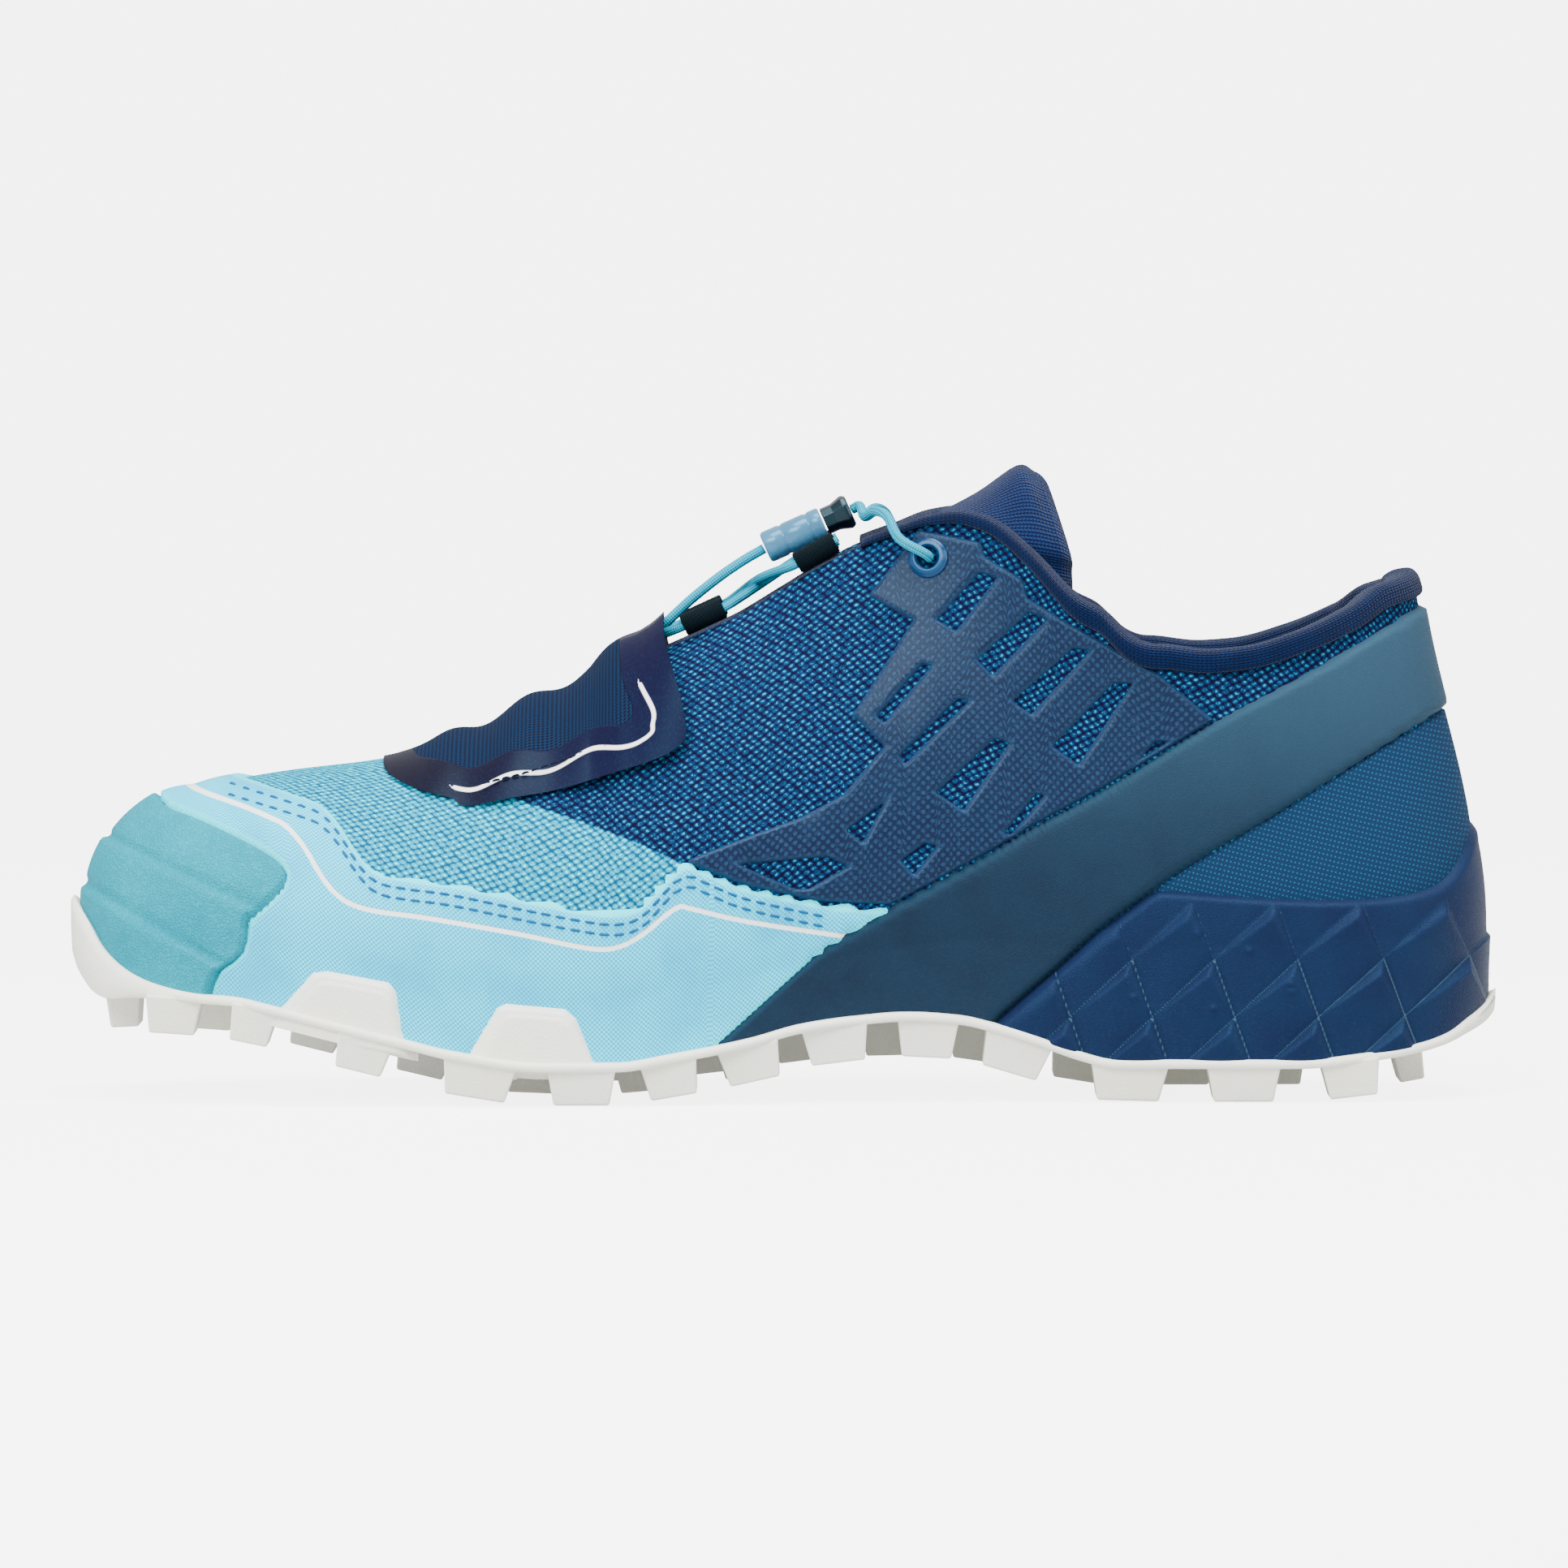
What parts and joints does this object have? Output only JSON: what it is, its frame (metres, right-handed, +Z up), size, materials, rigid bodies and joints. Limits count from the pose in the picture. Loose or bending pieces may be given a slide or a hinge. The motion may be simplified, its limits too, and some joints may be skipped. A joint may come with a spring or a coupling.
{
  "type": "trail running shoe",
  "caption": "Low trail running shoe with a lugged outsole, foam midsole, hollow mesh upper with film overlays, rubber toe cap and a corded quick lace with a sliding lock",
  "frame": {"origin": "centre of the bounding box in plan, at the floor under the lugs", "axes": "+X towards the heel, -X towards the toe, +Y to the outer side of the foot, +Z up"},
  "size_m": [0.275, 0.0983, 0.1195],
  "materials": {
    "outsole_rubber": "matt off-white moulded rubber",
    "midsole_foam": "satin navy foam with a moulded skin",
    "upper_mesh": "two-tone engineered mesh",
    "footbed": "dark textile over foam",
    "toe_rubber": "fine-grained teal rubber",
    "rand_film": "sky-blue film with a fine weave",
    "band_film": "dark slate film",
    "heel_panel": "blue textile with dotted lines",
    "saddle_film": "translucent welded film",
    "cover_film": "speckled film round a fine mesh",
    "knit": "padded navy knit",
    "eyelet_plastic": "moulded blue ring",
    "webbing": "black woven tape",
    "cord": "braided cyan cord",
    "lock_barrel": "light metallic blue, part see-through",
    "lock_button": "black, faceted"
  },
  "bodies": {
    "root": {"outsole": "outsole_rubber", "midsole": "midsole_foam", "insole": "footbed", "upper": "upper_mesh", "tongue": "knit", "collar": "knit", "toe_cap": "toe_rubber", "rand": "rand_film", "heel_band": "band_film", "heel_counter": "heel_panel", "saddle_medial": "saddle_film", "saddle_lateral": "saddle_film", "throat_cover": "cover_film", "eyelet_medial": "eyelet_plastic", "eyelet_lateral": "eyelet_plastic", "lace_loop_1_medial": "webbing", "lace_loop_1_lateral": "webbing", "lace_loop_2_medial": "webbing", "lace_loop_2_lateral": "webbing", "lace": "cord", "cord_top_medial": "cord", "cord_top_lateral": "cord", "cord_tail_medial": "cord", "cord_tail_lateral": "cord", "cord_lock_barrel": "lock_barrel", "cord_lock_button": "lock_button"}
  },
  "joints": []
}
